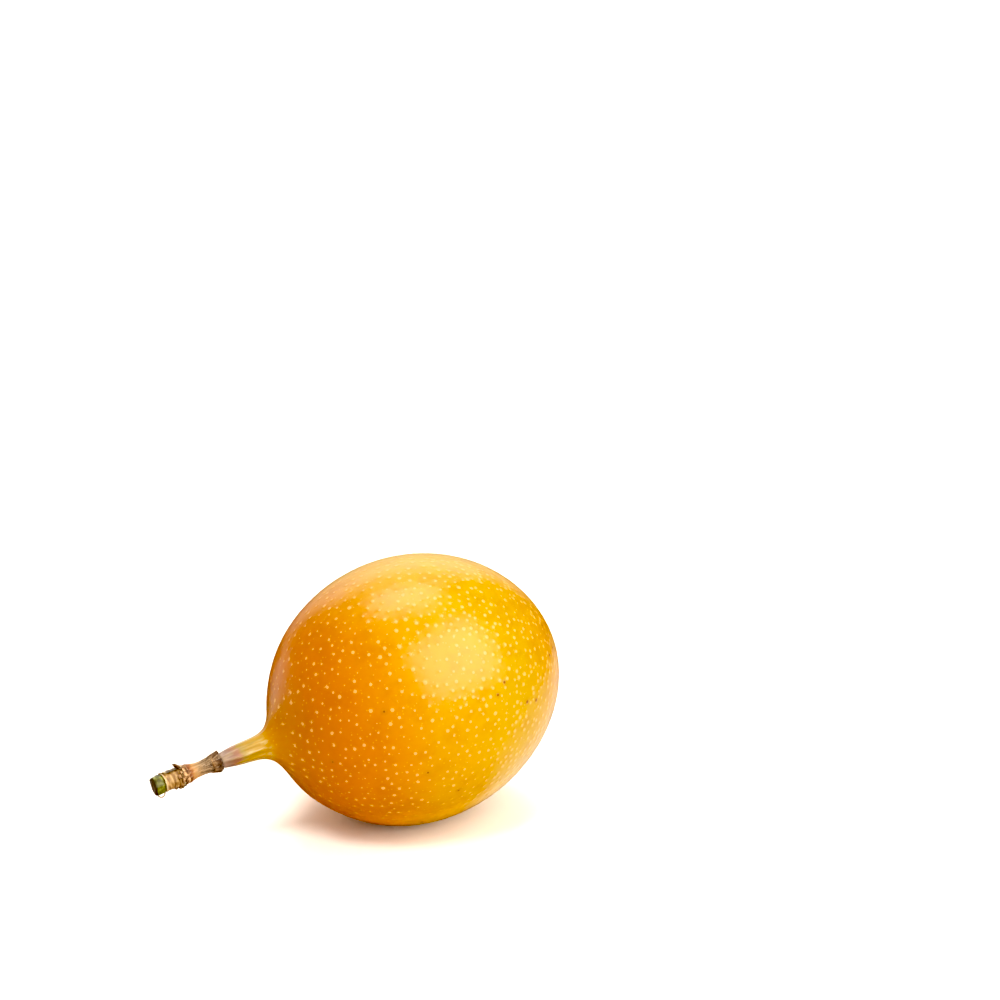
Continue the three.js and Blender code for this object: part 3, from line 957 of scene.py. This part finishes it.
def curled_bark_material():
    """Scales of shed bark: pale tan inside, rusty brown to black-brown where their edges weathered."""
    material, tree = new_material("curled_shed_bark")
    place = standing_place(tree)
    blotches = add_node(tree, "ShaderNodeTexNoise",
                        inputs={"Vector": place, "Scale": features(1.3), "Detail": 3.0, "Roughness": 0.65})
    bark = add_node(tree, "ShaderNodeValToRGB", inputs={"Fac": blotches},
                    stops=((0.38, "#4A2B13"), (0.6, "#B18D61"), (0.49, "#856138")))
    edges = add_node(tree, "ShaderNodeAttribute", {"attribute_name": "torn_edge"}).outputs["Fac"]
    dark = add_node(tree, "ShaderNodeMapRange", SMOOTH,
                    {"Value": edges, "From Min": 0.6, "From Max": 1.0, "To Max": 0.75})
    bark = add_node(tree, "ShaderNodeMix", COLOURS, {"Factor": dark, "A": bark, "B": srgb("#402510")})
    axis = add_node(tree, "ShaderNodeSeparateXYZ", inputs={"Vector": place}).outputs["Z"]
    worn = add_node(tree, "ShaderNodeMapRange", SMOOTH,
                    {"Value": axis, "From Min": 58.2 * MM, "From Max": 55.3 * MM, "To Max": 0.85})
    bark = add_node(tree, "ShaderNodeMix", COLOURS, {"Factor": worn, "A": bark, "B": srgb("#3A2412")})
    bump = add_node(tree, "ShaderNodeBump", inputs={"Height": blotches, "Strength": 0.4, "Distance": BUMP})
    shader = add_node(tree, "ShaderNodeBsdfPrincipled", inputs={
        "Base Color": bark, "Roughness": 0.8, "IOR": 1.45, "Specular IOR Level": 0.3, "Normal": bump})
    add_node(tree, "ShaderNodeOutputMaterial", inputs={"Surface": shader})
    return material


def sheath_material():
    """Dry papery sheath: thin straw-coloured fibres, dull satin, darker and greyer where it is loose."""
    material, tree = new_material("papery_leaf_sheath")
    place = standing_place(tree)
    drawn = add_node(tree, "ShaderNodeMapping", inputs={"Vector": place, "Scale": (0.45, 0.45, 1.3)})
    fibres = add_node(tree, "ShaderNodeTexNoise",
                      inputs={"Vector": drawn, "Scale": features(0.9), "Detail": 3.0, "Roughness": 0.6})
    paper = add_node(tree, "ShaderNodeValToRGB", inputs={"Fac": fibres},
                     stops=((0.38, "#5E3D11"), (0.62, "#9E7E49"), (0.5, "#7D5C2A")))
    loose = add_node(tree, "ShaderNodeAttribute", {"attribute_name": "loose"}).outputs["Fac"]
    grey = add_node(tree, "ShaderNodeMapRange", SMOOTH,
                    {"Value": loose, "From Min": 0.05, "From Max": 0.4, "To Max": 0.9})
    paper = add_node(tree, "ShaderNodeMix", COLOURS, {"Factor": grey, "A": paper, "B": srgb("#3F3520")})
    ends = add_node(tree, "ShaderNodeAttribute", {"attribute_name": "paper_edge"}).outputs["Fac"]
    paper = add_node(tree, "ShaderNodeMix", COLOURS, {"Factor": ends, "A": paper, "B": srgb("#AB986F")})
    bump = add_node(tree, "ShaderNodeBump", inputs={"Height": fibres, "Strength": 0.4, "Distance": BUMP})
    shader = add_node(tree, "ShaderNodeBsdfPrincipled", inputs={
        "Base Color": paper, "Roughness": 0.6, "IOR": 1.45, "Specular IOR Level": 0.35, "Normal": bump})
    add_node(tree, "ShaderNodeOutputMaterial", inputs={"Surface": shader})
    return material


def green_stem_material():
    """Living green stem: faintly waxy olive skin with paler patches, and a cut that dried brown."""
    material, tree = new_material("green_vine_stem")
    place = standing_place(tree)
    blotches = add_node(tree, "ShaderNodeTexNoise",
                        inputs={"Vector": place, "Scale": features(1.7), "Detail": 3.0, "Roughness": 0.6})
    skin = add_node(tree, "ShaderNodeValToRGB", inputs={"Fac": blotches},
                    stops=((0.38, "#312C04"), (0.66, "#70702D"), (0.52, "#4D4B0E")))
    cut = add_node(tree, "ShaderNodeAttribute", {"attribute_name": "cut"}).outputs["Fac"]
    # Painted shade: the green darkens on the shoulder under the cut.
    painted_cut_shade = add_node(tree, "ShaderNodeMapRange", SMOOTH,
                      {"Value": cut, "From Min": 0.0, "From Max": 0.08, "To Max": 0.85})
    skin = add_node(tree, "ShaderNodeMix", COLOURS, {"Factor": painted_cut_shade, "A": skin, "B": srgb("#24230A")})
    browned = add_node(tree, "ShaderNodeMapRange", SMOOTH,
                       {"Value": cut, "From Min": 0.02, "From Max": 0.16})
    wood = add_node(tree, "ShaderNodeValToRGB", inputs={"Fac": cut},
                    stops=((0.25, "#281B08"), (1.0, "#36291F"), (0.45, "#423626"), (0.62, "#59493C"),
                           (0.8, "#4B3D31")))
    skin = add_node(tree, "ShaderNodeMix", COLOURS, {"Factor": browned, "A": skin, "B": wood})
    bump = add_node(tree, "ShaderNodeBump", inputs={"Height": blotches, "Strength": 0.3, "Distance": BUMP})
    dull = add_node(tree, "ShaderNodeMapRange", inputs={"Value": browned, "To Min": 0.42, "To Max": 0.75})
    shader = add_node(tree, "ShaderNodeBsdfPrincipled", inputs={
        "Base Color": skin, "Roughness": dull, "IOR": 1.45, "Specular IOR Level": 0.2, "Normal": bump})
    add_node(tree, "ShaderNodeOutputMaterial", inputs={"Surface": shader})
    return material


def card_material():
    """Matt white card, which shows only the shadow and the colour that the fruit throws on it."""
    material, tree = new_material("matt_white_card")
    shader = add_node(tree, "ShaderNodeBsdfPrincipled",
                      inputs={"Base Color": srgb("#F5EDE5"), "Roughness": 0.9})
    add_node(tree, "ShaderNodeOutputMaterial", inputs={"Surface": shader})
    return material


# ---------------- build


def finish_piece(piece, material, node=None):
    piece.data.materials.append(material)
    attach(piece, "root")
    if node:
        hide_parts(node)


finish_piece(make_rind(Outline(), random.Random(SEED)), rind_material(), "fruit")
bark = bark_material()
finish_piece(make_dry_stalk(), bark, "stalk")
finish_piece(make_peeling_bark(random.Random(SEED)), curled_bark_material())
finish_piece(make_papery_sheath(), sheath_material())
finish_piece(make_loose_fibre(), bark)
finish_piece(make_green_tip(), green_stem_material(), "stalk_tip")

# ---------------- floor, light, camera

FLOOR_SIZE = 40.0  # metres
bpy.ops.mesh.primitive_plane_add(size=FLOOR_SIZE, location=(0, 0, 0))
floor = bpy.context.object
floor.name = "floor"
floor.data.materials.append(card_material())
floor.visible_glossy = False

# Camera: a long lens, in metres, pixels and radians. The fruit's widest section is drawn round BERRY_PIXEL.
CAMERA_AZIMUTH = math.radians(-30)
CAMERA_ELEVATION = math.radians(20)
CAMERA_DISTANCE = 1.0
SENSOR_WIDTH = 36
FOCAL_PIXELS = 4006
IMAGE_PIXELS = 1000
BERRY_PIXEL = (412.4, 688.8)
BLACK_POINT = 0.045

# Light from all round, and flat lamps that stand this many metres off.
WORLD_COLOUR = "#FFDFBA"
WORLD_STRENGTH = 0.6
LAMP_DISTANCE = 8.0

# Each lamp: name, direction from the fruit, width and height in metres, glow and glint.
SOFTBOXES = (("key", (-0.4, -0.29, 0.87), (2.2, 2.2), 23.5, 0.0),
             ("main", (0.36, -0.71, 0.61), (8.4, 8.4), 3.9, 15.5),
             ("low", (-0.08, -0.94, 0.3), (7.0, 5.0), 2.0, 0.0),
             ("overhead", (0.13, 0.31, 0.94), (5.0, 4.2), 8.6, 15.0),
             ("backdrop", (0.35, 0.87, 0.53), (8.0, 3.6), 1.6, 4.0),
             ("horizon", (0.35, 0.87, 0.1), (9.0, 3.2), 0.0, 1.3),
             ("side", (-0.63, 0.74, -0.28), (9.5, 6.0), 0.0, 2.3),
             ("below", (0.77, 0.1, -0.5), (9.5, 5.0), 0.0, 2.2))


def camera_axes():
    """Right, up and backwards for a camera at this turn round the fruit and this height over it."""
    turn, rise = CAMERA_AZIMUTH, CAMERA_ELEVATION
    right = Vector((math.cos(turn), math.sin(turn), 0))
    back = Vector((math.sin(turn) * math.cos(rise), -math.cos(turn) * math.cos(rise), math.sin(rise)))
    return right, back.cross(right), back


def add_camera():
    right, up, back = camera_axes()
    half = IMAGE_PIXELS / 2
    aside = (BERRY_PIXEL[0] - half) / FOCAL_PIXELS * CAMERA_DISTANCE
    below = (BERRY_PIXEL[1] - half) / FOCAL_PIXELS * CAMERA_DISTANCE
    data = bpy.data.cameras.new("camera")
    data.sensor_fit = "HORIZONTAL"
    data.sensor_width = SENSOR_WIDTH
    data.lens = SENSOR_WIDTH * FOCAL_PIXELS / IMAGE_PIXELS
    data.clip_end = FLOOR_SIZE / 2
    camera = bpy.data.objects.new("camera", data)
    bpy.context.scene.collection.objects.link(camera)
    turn = Matrix((right, up, back)).transposed().to_4x4()
    place = SEAT - right * aside + up * below + back * CAMERA_DISTANCE
    camera.matrix_world = Matrix.Translation(place) @ turn
    bpy.context.scene.camera = camera


def add_softbox(name, direction, size, glow, glint):
    """A flat lamp that faces the fruit: glow is for matt surfaces, and glint is what glossy ones show."""
    way = Vector(direction).normalized()
    for kind, radiance in (("glow", glow), ("glint", glint)):
        if not radiance:
            continue
        data = bpy.data.lights.new(name + "_" + kind, "AREA")
        data.shape = "RECTANGLE"
        data.size, data.size_y = size
        data.energy = radiance * math.pi * size[0] * size[1]
        lamp = bpy.data.objects.new(name + "_" + kind, data)
        bpy.context.scene.collection.objects.link(lamp)
        turn = way.to_track_quat("Z", "Y").to_matrix().to_4x4()
        lamp.matrix_world = Matrix.Translation(SEAT + way * LAMP_DISTANCE) @ turn
        lamp.visible_diffuse = kind == "glow"
        lamp.visible_glossy = kind == "glint"
        data.cycles.use_multiple_importance_sampling = kind == "glint"


def add_world():
    """Dim warm light from all round, which reflections leave out."""
    world = bpy.data.worlds.new("pale_studio")
    world.use_nodes = True
    background = world.node_tree.nodes["Background"]
    background.inputs["Color"].default_value = srgb(WORLD_COLOUR)
    background.inputs["Strength"].default_value = WORLD_STRENGTH
    bpy.context.scene.world = world
    world.cycles_visibility.glossy = False


add_camera()
add_world()
for softbox in SOFTBOXES:
    add_softbox(*softbox)
view = bpy.context.scene.view_settings
view.view_transform = "Standard"
view.use_curve_mapping = True
view.curve_mapping.black_level = (BLACK_POINT, BLACK_POINT, BLACK_POINT)
view.curve_mapping.update()
